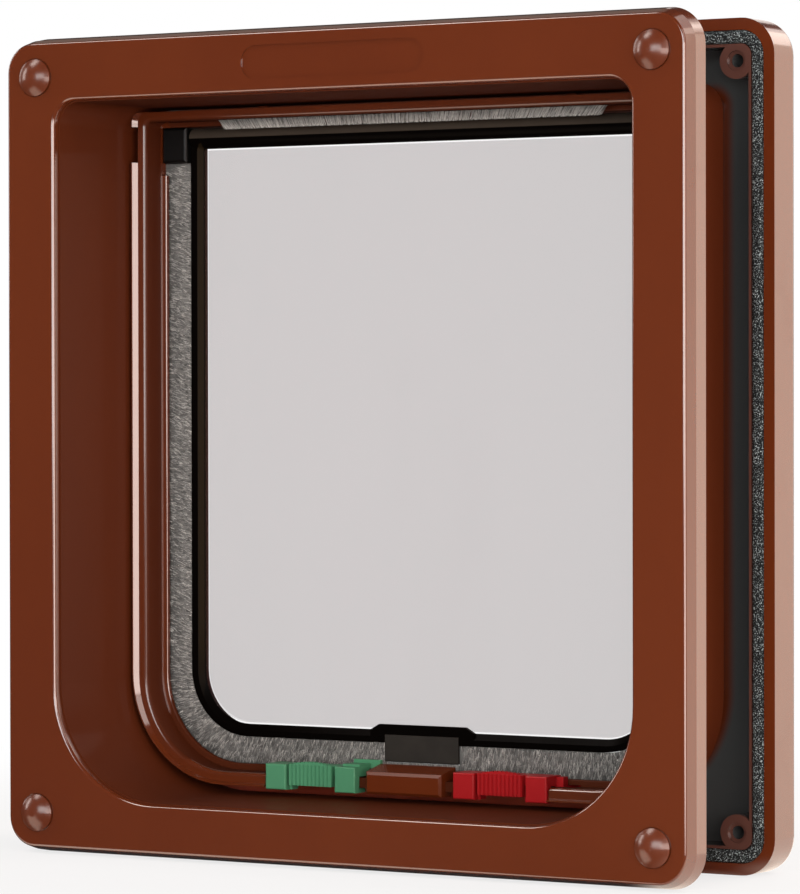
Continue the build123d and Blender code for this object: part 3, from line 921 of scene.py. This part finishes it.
@dataclass
class FoamCord:
    """The foam cord in the exterior frame's rim."""

    node: str = "foam_seal"
    corner: float = 4.95 * MM
    width: float = 3.56 * MM
    clear: float = 0.02 * MM
    along: int = 3000
    around: int = 26
    power: float = 0.62
    grain: float = 0.2 * MM
    coarse_cell: float = 0.42 * MM
    fine_cell: float = 0.2 * MM
    fine_share: float = 0.6
    coarse_seed: int = 3
    fine_seed: int = 11

    def path(self) -> tuple[Grid, Grid]:
        """Middle line: a rectangle with round corners, at equal steps of its length.

        Straight sides and quarter circles take turns; the outward normal turns with each circle.

        Returns:
            Points in X and height, and their outward normals.
        """
        _, high = node_box(self.node)
        side = high[[0, 2]] - self.width / 2 - self.clear - self.corner
        arc = np.pi / 2 * self.corner
        spans = np.array([2 * side[1], arc, 2 * side[0], arc] * 2)
        ends = np.concatenate([[0], np.cumsum(spans)])
        run = np.linspace(0, ends[-1], self.along, endpoint=False)
        part = np.searchsorted(ends, run, side="right") - 1
        share = (run - ends[part]) / spans[part]
        quarter, round_part = part // 2, part % 2 == 1
        turn = quarter * np.pi / 2 + np.where(round_part, share * np.pi / 2, 0)
        normal = np.stack([np.cos(turn), np.sin(turn)], axis=-1)
        corners = np.array([(1, -1), (1, 1), (-1, 1), (-1, -1), (1, -1)]) * side
        start, centre = corners[quarter], corners[quarter + 1]
        middle = np.where(round_part[:, None], centre, start + (centre - start) * share[:, None])
        return middle + normal * self.corner, normal

    def build(self) -> Piece:
        """Carry a domed profile along the path and roughen it with grains.

        The profile is a superellipse across the groove; each point moves along the profile's own outward
        direction by lattice noise, most on the dome.

        Returns:
            The cord as a closed ring.
        """
        middle, normal = self.path()
        low, high = node_box(self.node)
        turn = np.linspace(0, 2 * np.pi, self.around, endpoint=False)
        across = np.sign(np.cos(turn)) * np.abs(np.cos(turn)) ** self.power * self.width / 2
        thick = high[1] - low[1] - self.clear
        deep = np.sign(np.sin(turn)) * np.abs(np.sin(turn)) ** self.power * thick / 2
        flat = middle[:, None] + normal[:, None] * across[:, None]
        points = in_frame(flat[..., 0], (low[1] + high[1]) / 2 + deep[None, :], flat[..., 1])
        coarse = lattice_noise(points, self.coarse_cell, self.coarse_seed) - 0.55
        fine = lattice_noise(points, self.fine_cell, self.fine_seed) - 0.5
        dome = np.clip(-np.sin(turn) * 1.5 + 0.5, 0, 1)
        lift = (coarse + self.fine_share * fine) * self.grain * dome
        outward = np.stack(
            np.broadcast_arrays(
                normal[:, None, 0] * np.cos(turn), np.sin(turn), normal[:, None, 1] * np.cos(turn)
            ),
            axis=-1,
        )
        points = points + outward * lift[..., None]
        faces = grid_faces(self.along, self.around, True, True)
        return Piece(points.reshape(-1, 3), [faces], {})


class Side(Enum):
    """Which side of the flap a pile strip lies on, as seen from the room."""

    LEFT = -1
    RIGHT = 1


@dataclass
class PileStrip:
    """A pile strip down one side of the flap and along half of its foot, cut low under half of the tab."""

    side: Side
    node: str
    seed: int
    fibres: int = 9600
    tufted: float = 0.8
    thickness: float = 0.22 * MM
    clump: float = 0.45 * MM
    lean: float = 2.6 * MM
    clear: float = 0.05 * MM
    brush: float = 0.03 * MM
    beside_tab: float = 0.2 * MM
    under_tab: float = 0.08 * MM
    root_corner: float = 26.6 * MM
    tip_corner: float = 19.1 * MM
    tuft_start: float = 0.88
    tuft_length: tuple[float, float] = (0.12, 0.26)
    ragged: float = 0.012
    low_ragged: float = 0.06 * MM
    bend: Triple = (0.22 * MM, 0.05 * MM, 0.22 * MM)
    slab_rows: int = 160
    slab_split: tuple[float, float, float, float] = (0.0, 0.5, 0.85, 1.0)
    slab_inset: float = 0.19
    slab_reach: float = 0.985
    low_slab_reach: float = 0.96
    # Dark tone of the slabs, painted as the shade deep in the pile
    slab_painted_shade: float = 0.1

    def __post_init__(self) -> None:
        """Take the strip's limits from its solid, the flap and the tab."""
        low, high = node_box(self.node)
        flap_low, flap_high = node_box("flap_frame")
        tab_low, tab_high = node_box("magnet_holder")
        self.front, self.back = low[1] + self.clear, high[1] - self.clear
        self.head = high[2] - self.clear
        self.root_half = max(-low[0], high[0]) - self.clear
        self.root_foot = low[2] + self.clear
        self.tip_half = flap_high[0] + self.brush
        self.tip_foot = flap_low[2] - self.brush
        self.tab = tab_high[0] + self.beside_tab
        self.low_tip = tab_low[2] - self.under_tab
        spans = (
            self.head - self.root_foot - self.root_corner,
            np.pi / 2 * self.root_corner,
            self.root_half - self.root_corner - self.tab,
        )
        self.ends = np.concatenate([[0], np.cumsum(spans)])

    def line(self, run: Grid, half: float, foot: float, corner: float) -> Grid:
        """Point on a line down the side, round the lower corner and along the foot to the tab.

        Args:
            run: Lengths along the strip's root, from its head.
            half: Distance of the side from the middle.
            foot: Height of the foot.
            corner: Radius of the corner.

        Returns:
            Points in X and height.
        """
        share = np.interp(run, self.ends, np.arange(4.0))
        down, turn, along = (np.clip(share - n, 0, 1) for n in range(3))
        x = half - corner + corner * np.cos(turn * np.pi / 2) - along * (half - corner - self.tab)
        z = self.head - down * (self.head - foot - corner) - corner * np.sin(turn * np.pi / 2)
        return np.stack([x * self.side.value, z], axis=-1)

    def roots(self, run: Grid) -> Grid:
        """Points of the line that the fibres grow from."""
        return self.line(run, self.root_half, self.root_foot, self.root_corner)

    def tips(self, run: Grid) -> Grid:
        """Points of the line that the fibres reach."""
        return self.line(run, self.tip_half, self.tip_foot, self.tip_corner)

    def coat(self) -> Piece:
        """Grow the fibres: whole ones through the strip, and short tufts over its front.

        A fibre lies on the line from a root to a tip further along the strip. Whole fibres take all of it,
        and a tuft takes a stretch of it near the front, so that pale ends are scattered over the face.

        Returns:
            The fibres as one piece.
        """
        draw = np.random.default_rng(self.seed)
        count = self.fibres
        run = (np.arange(count) + draw.uniform(0, 1, count)) / count * self.ends[-1]
        ahead = -self.side.value * self.lean * draw.normal(1.0, 0.45, count)
        root, tip = self.roots(run), self.tips(run + ahead)
        tuft = draw.uniform(0, 1, count) < self.tufted
        start = np.where(tuft, draw.uniform(0.0, self.tuft_start, count), 0.0)
        end = np.where(tuft, start + draw.uniform(*self.tuft_length, count), 1.0)
        end = np.minimum(end, 1 - np.abs(draw.normal(0, self.ragged, count)))
        thick = self.back - self.front
        deep = np.where(tuft, draw.uniform(0.1, 0.4, count), draw.uniform(0.2, 1.0, count))
        rise = np.where(tuft, draw.uniform(0.0, 0.35, count), draw.normal(0.0, 0.08, count))
        depth = self.front + thick * np.clip(np.stack([deep, deep - rise]), 0.04, 0.98)
        flat = root + (tip - root) * np.stack([start, end])[..., None]
        low, high = np.stack([flat[..., 0], depth, flat[..., 1]], axis=-1)
        bend = draw.normal(0, 1.0, (count, 3)) * np.array(self.bend)
        bend = bend * (1 - end[:, None] ** 2)
        clumps = lattice_noise((low + high) / 2, self.clump, self.seed)
        shade = np.clip(0.43 + 1.9 * (clumps - 0.5) + draw.normal(0, 0.2, count), 0, 1)
        return Fibres(low, high, bend, shade, self.thickness).build()

    def short_coat(self) -> Piece:
        """Grow the low fibres under the tab, straight up from the foot.

        Returns:
            The fibres as one piece.
        """
        draw = np.random.default_rng(self.seed + 100)
        count = int(self.fibres * self.tab / self.ends[-1])
        x = (np.arange(count) + draw.uniform(0, 1, count)) / count * (self.tab - self.clear) + self.clear
        x = x * self.side.value
        depth = draw.uniform(self.front, self.back, count)
        low = np.stack([x, depth, np.full(count, self.root_foot)], axis=-1)
        tip = self.low_tip - np.abs(draw.normal(0, self.low_ragged, count))
        high = np.stack([x, depth, tip], axis=-1)
        shade = np.clip(draw.normal(0.3, 0.25, count), 0, 1)
        return Fibres(low, high, np.zeros((count, 3)), shade, self.thickness).build()

    def slab(self, root: Grid, tip: Grid, reach: float) -> Piece:
        """Closed slab inside the fibres: a flat four-cornered profile carried along the strip.

        Args:
            root: Points of one edge, in X and height.
            tip: Points of the other edge.
            reach: Share of the way from root to tip that the slab takes.

        Returns:
            The slab with both ends closed, dark as painted shade deep in the pile.
        """
        rows = len(root)
        inset = self.slab_inset * (self.back - self.front)
        near, far = self.front + inset, self.back - inset
        deep = np.array([near, near, far, far])
        part = np.array([0.0, reach, reach, 0.0])
        flat = root[:, None] + (tip - root)[:, None] * part[None, :, None]
        points = in_frame(flat[..., 0], deep[None, :], flat[..., 1]).reshape(-1, 3)
        skin = grid_faces(rows, 4, False, True)[:, ::-1]
        ends = np.array([[0, 1, 2, 3], [3, 2, 1, 0]]) + np.array([[0], [(rows - 1) * 4]])
        faces = [block[:, ::-1] if self.side is Side.RIGHT else block for block in (skin, ends)]
        # Painted shade: the slab blocks the view through the fibres and is dark as the pile's depths
        plain = np.full(len(points), self.slab_painted_shade)
        return Piece(points, faces, {"along": plain, "shade": plain})

    def build(self) -> Piece:
        """Put the fibres and the slabs that back them together.

        Returns:
            The strip as one piece.
        """
        run = np.interp(np.linspace(0, 1, self.slab_rows), self.slab_split, self.ends)
        shaded_core = self.slab(self.roots(run), self.tips(run), self.slab_reach)
        x = np.array([self.tab, self.clear]) * self.side.value
        foot = np.stack([x, np.full(2, self.root_foot)], axis=-1)
        top = np.stack([x, np.full(2, self.low_tip)], axis=-1)
        low_shaded_core = self.slab(foot, top, self.low_slab_reach)
        return self.coat().joined(self.short_coat()).joined(shaded_core).joined(low_shaded_core)


@dataclass
class TopPile:
    """The short pile under the top of the sleeve."""

    node: str = "pile_top"
    seed: int = 7
    fibres: int = 2400
    thickness: float = 0.17 * MM
    slant: float = 2.0 * MM
    stray: float = 0.25 * MM
    clear: float = 0.05 * MM

    def build(self) -> Piece:
        """Hang short fibres from the sleeve's top, at even steps along it, the outer ones slanting in.

        Returns:
            The fibres as one piece.
        """
        draw = np.random.default_rng(self.seed)
        low, high = node_box(self.node)
        count = self.fibres
        step = 2 * (np.arange(count) + draw.uniform(0, 1, count)) / count - 1
        half = high[0] - self.thickness
        x_root = step * half
        x_tip = np.clip(x_root + draw.normal(0, self.stray, count), -half, half)
        x_tip = x_tip * (1 - self.slant / high[0])
        depth = draw.uniform(low[1] + self.clear, high[1] - self.clear, count)
        drop = (high[2] - low[2]) * np.clip(draw.normal(0.97, 0.08, count), 0.7, 0.99)
        top = np.full(count, high[2])
        root = np.stack([x_root, depth, top], axis=-1)
        tip = np.stack([x_tip, depth, top - drop], axis=-1)
        shade = np.clip(draw.normal(0.7, 0.42, count), 0, 1)
        return Fibres(root, tip, np.zeros((count, 3)), shade, self.thickness).build()


@dataclass
class InteriorHalf:
    """The room-side frame with its liner, and the caps over its screws."""

    moulding: GlossMoulding
    cap: GlossMoulding

    def dress(self) -> None:
        """Give the solids their finishes."""
        paint(self.moulding.material(), "interior_frame")
        paint(self.cap.material(), "screw_caps")


@dataclass
class ExteriorHalf:
    """The weather-side frame with its sleeve, seals, pivot blocks and catch."""

    moulding: GlossMoulding
    catch: GlossMoulding
    pivot: MattMoulding
    magnet: MattMoulding
    foam: Foam
    pile: CutPile

    def dress(self) -> None:
        """Give the solids their finishes, and show foam and fibres in place of the plain seals."""
        paint(self.moulding.material(), "exterior_frame")
        paint(self.catch.material(), "catch_block")
        paint(self.pivot.material(), "pivot_block_left", "pivot_block_right")
        paint(self.magnet.material(), "sill_magnet")
        FoamCord().build().stand_for("foam_seal", "foam_cord", self.foam.material(), "foam")
        fibre = self.pile.material()
        for side, seed in ((Side.LEFT, 21), (Side.RIGHT, 22)):
            node = f"pile_{side.name.lower()}"
            strip = PileStrip(side, node, seed)
            strip.build().stand_for(node, f"pile_fibres_{side.name.lower()}", fibre, "pile")
        TopPile().build().stand_for("pile_top", "pile_fibres_top", fibre, "pile")


@dataclass
class Flap:
    """The swinging flap: border, clear pane, magnet tab and hinge pins."""

    border: SmokedBorder
    pane: ClearPane
    tab: MattMoulding
    magnet: MattMoulding
    pin: DrawnSteel

    def dress(self) -> None:
        """Give the solids their finishes."""
        paint(self.border.material(), "flap_frame")
        paint(self.pane.material(), "flap_pane")
        paint(self.tab.material(), "magnet_holder")
        paint(self.magnet.material(), "flap_magnet")
        paint(self.pin.material(), "hinge_pin_left", "hinge_pin_right")


@dataclass
class LockSlides:
    """The two slides on the sill that lock the flap one way each."""

    green: GlossMoulding
    red: GlossMoulding

    def dress(self) -> None:
        """Give the solids their finishes."""
        paint(self.green.material(), "green_lock_slide")
        paint(self.red.material(), "red_lock_slide")


@dataclass
class Softbox:
    """A rectangular lamp that faces a point of the part."""

    name: str
    place: Triple
    size: tuple[float, float]
    power: float
    colour: Colour = WHITE

    def build(self, target: Vector) -> None:
        """Hang the lamp and aim it.

        Args:
            target: Point that it faces.
        """
        lamp = bpy.data.lights.new(self.name, "AREA")
        lamp.shape = "RECTANGLE"
        lamp.size, lamp.size_y = self.size
        lamp.energy = self.power
        lamp.color = self.colour
        made = bpy.data.objects.new(self.name, lamp)
        made.location = self.place
        made.rotation_euler = (Vector(self.place) - target).to_track_quat("Z", "Y").to_euler()
        made.visible_camera = False
        bpy.context.scene.collection.objects.link(made)


@dataclass
class Studio:
    """Camera, lamps, floor and surroundings."""

    focal_px: float = 4530.8
    long_side_px: float = 894.0
    sensor: float = 36.0
    yaw: float = 31.46
    pitch: float = 0.706
    roll: float = -0.104
    shift: Triple = (-18.51 * MM, 0.07 * MM, 1220.41 * MM)
    view_end: float = 100.0
    warm: Colour = (1.0, 0.83, 0.69)
    rosy: Colour = (1.0, 0.83, 0.76)
    pale: Colour = (1.0, 0.88, 0.82)
    room: float = 0.3
    room_in_gloss: float = 0.03
    floor_half: float = 40.0
    floor_grey: float = 0.9
    shadow_light: float = 0.75
    shadow_near: float = 0.16
    shadow_far: float = 0.42
    foot: Triple = (0.1, 0.065, 0.0)
    foot_near: float = 0.03
    foot_far: float = 0.06
    toe: Triple = (0.122, -0.01, 0.0)
    toe_near: float = 0.018
    toe_far: float = 0.038
    glow: Colour = (1.0, 0.85, 0.73)
    glow_strength: float = 1.5

    def camera(self) -> None:
        """Set the camera as the photo's: turn by yaw, pitch and roll, then step back."""
        turn = np.array([[1, 0, 0], [0, 0, -1], [0, 1, 0]], float)
        for angle, axis in ((self.yaw, "Y"), (self.pitch, "X"), (self.roll, "Z")):
            turn = np.array(Matrix.Rotation(np.radians(angle), 3, axis)) @ turn
        place = in_frame(*(-turn.T @ np.array(self.shift)))
        data = bpy.data.cameras.new("camera")
        data.sensor_width = self.sensor
        data.lens = self.focal_px / self.long_side_px * self.sensor
        data.clip_end = self.view_end
        made = bpy.data.objects.new("camera", data)
        axes = np.stack([turn[0], -turn[1], -turn[2]], axis=1)
        made.matrix_world = Matrix.Translation(Vector(place)) @ Matrix(axes.tolist()).to_4x4()
        bpy.context.scene.collection.objects.link(made)
        bpy.context.scene.camera = made

    def lamps(self) -> None:
        """Hang the lamps: a broad one in front, strips at both sides, and cards behind and above."""
        middle = Vector((0.0, 0.0, CENTRE_Z))
        edge = Vector((0.18, -0.03, 0.15))
        corner = Vector((0.1, 0.0, 2 * CENTRE_Z))
        warm, rosy, pale = self.warm, self.rosy, self.pale
        Softbox("front", (0.36, -1.7, 0.42), (1.3, 0.7), 13.2).build(middle)
        Softbox("left", (-1.38, -0.42, 0.52), (0.3, 0.7), 4.5, pale).build(middle)
        Softbox("right_strip", (0.983, -0.688, 0.12), (1.1, 0.44), 8.2, rosy).build(middle)
        Softbox("right_upper", (1.02, -0.47, 0.66), (0.56, 0.62), 2.6, pale).build(middle)
        Softbox("right_card", (0.3025, 0.19, 0.15), (0.41, 0.6), 1.15, warm).build(edge)
        Softbox("band_card", (0.56, 0.374, 0.15), (0.2, 0.6), 0.3, warm).build(edge)
        Softbox("back_card", (0.33, 0.81, 0.65), (0.6, 0.35), 1.1, pale).build(corner)
        Softbox("arch_card", (0.4, 0.3, 0.66), (0.5, 0.45), 0.8, pale).build(corner)
        Softbox("top_card", (-0.63, 0.85, 0.8), (0.5, 0.5), 0.12, warm).build(corner)
        Softbox("rear_card", (-0.1, 0.78, 0.42), (0.4, 0.22), 0.28, pale).build(corner)
        Softbox("low_card", (-0.3, -0.3, -0.25), (0.4, 0.4), 0.95, warm).build(corner)
        Softbox("above", (-0.83, -0.56, 1.48), (0.6, 0.6), 6.5, pale).build(middle)

    def surroundings(self) -> None:
        """White for the camera and through clear plastic, and a dim room, darker still in gloss."""
        world = bpy.data.worlds.new("room")
        bpy.context.scene.world = world
        world.use_nodes = True
        g = Graph(world.node_tree)
        kind = "ShaderNodeBackground"
        room = g.either(g.seen("Is Glossy Ray"), g.glow(kind, self.room), g.glow(kind, self.room_in_gloss))
        whole = g.either(g.seen("Is Camera Ray", "Is Transmission Ray"), room, g.glow(kind, 1.0))
        g.node("ShaderNodeOutputWorld", inputs={"Surface": whole})

    def floor(self) -> None:
        """Lay a white floor with a light shadow, which gloss shows only as a warm glow under the part."""
        half = self.floor_half
        corners = np.array([(-half, -half, 0), (half, -half, 0), (half, half, 0), (-half, half, 0)], float)
        g = Finish("floor_white")
        middle, foot, toe = (g.distance(spot) for spot in ((0.0, 0.0, 0.0), self.foot, self.toe))
        far = middle.ramp(self.shadow_near, self.shadow_far)
        near = foot.ramp(self.foot_far, self.foot_near).high(toe.ramp(self.toe_far, self.toe_near))
        grey = (self.floor_grey, self.floor_grey, self.floor_grey, 1.0)
        matt = g.wire(g.node("ShaderNodeBsdfDiffuse", inputs={"Color": grey}))
        shown = self.shadow_light + far * (1 - self.shadow_light)
        shown = g.seen("Is Camera Ray", "Is Transmission Ray") * shown
        lit = g.either(shown, matt, g.glow("ShaderNodeEmission", 1.0))
        clear = g.wire(g.node("ShaderNodeBsdfTransparent"))
        mirrored = g.either(near, clear, g.glow("ShaderNodeEmission", self.glow_strength, self.glow))
        white = g.close(g.either(g.seen("Is Glossy Ray"), lit, mirrored))
        Piece(corners, [np.array([[0, 1, 2, 3]])], {}).to_object("floor", white, smooth=False)

    def build(self) -> None:
        """Set everything round the part."""
        bpy.context.scene.view_settings.view_transform = "Standard"
        self.camera()
        self.lamps()
        self.surroundings()
        self.floor()


def main() -> None:
    """Build the looks piece by piece."""
    logging.basicConfig(level=logging.INFO, format="%(name)s %(message)s")
    brown, brown_shade = (0.132, 0.026, 0.0065), (0.118, 0.022, 0.0055)
    green, green_shade = linear(86, 152, 114), linear(76, 138, 102)
    red, red_shade = linear(178, 32, 36), linear(162, 26, 30)
    # Painted shade for the exterior frame's hollow, and painted light under its sill
    hollow = PaintedHollowShade(linear(74, 78, 79))
    # Tunnel grain; shade is the share of painted shade that darkens the walls
    room_grain_and_shade = TunnelGrainAndShade(OPENING, front=1.0 * MM, reach=1.0 * MM, past=8.3 * MM, shade=0.26)
    door_grain_and_shade = TunnelGrainAndShade(
        SLEEVE,
        front=36.85 * MM,
        reach=0.4 * MM,
        past=NOWHERE,
        shade=0.4,
        entry=0.6 * MM,
        lip=44.8 * MM,
        sill=-90.0 * MM,
    )
    ferrite = MattMoulding(
        "ferrite", linear(50, 50, 52), linear(66, 66, 68), roughness=0.45, spark_scale=1800.0
    )
    InteriorHalf(
        moulding=GlossMoulding("brown_moulding", brown, brown_shade, grain=room_grain_and_shade),
        cap=GlossMoulding("brown_cap", brown, brown_shade, roughness=0.4, coat=0.55, coat_roughness=0.25),
    ).dress()
    ExteriorHalf(
        moulding=GlossMoulding("brown_moulding_painted_shade", brown, brown_shade, dark=hollow, grain=door_grain_and_shade),
        catch=GlossMoulding("brown_catch", brown, brown_shade, coat=0.06),
        pivot=MattMoulding("pivot_moulding", linear(6, 6, 6), linear(12, 12, 12), roughness=0.4),
        magnet=ferrite,
        foam=Foam("open_foam", linear(20, 25, 27), linear(190, 206, 208)),
        pile=CutPile("cut_pile", linear(62, 62, 60), linear(206, 204, 199), linear(236, 234, 228)),
    ).dress()
    Flap(
        border=SmokedBorder("smoked_border", linear(7, 5, 4), linear(36, 28, 17), linear(70, 62, 54)),
        pane=ClearPane("clear_pane", linear(105, 70, 74), alpha=0.246),
        tab=MattMoulding("tab_moulding", linear(38, 35, 31), linear(50, 46, 41)),
        magnet=ferrite,
        pin=DrawnSteel("drawn_steel", (0.55, 0.55, 0.55)),
    ).dress()
    LockSlides(
        green=GlossMoulding("green_moulding", green, green_shade, roughness=0.36, coat=0.1),
        red=GlossMoulding("red_moulding", red, red_shade, roughness=0.36, coat=0.1),
    ).dress()
    Studio().build()


if __name__ == "__main__":
    main()
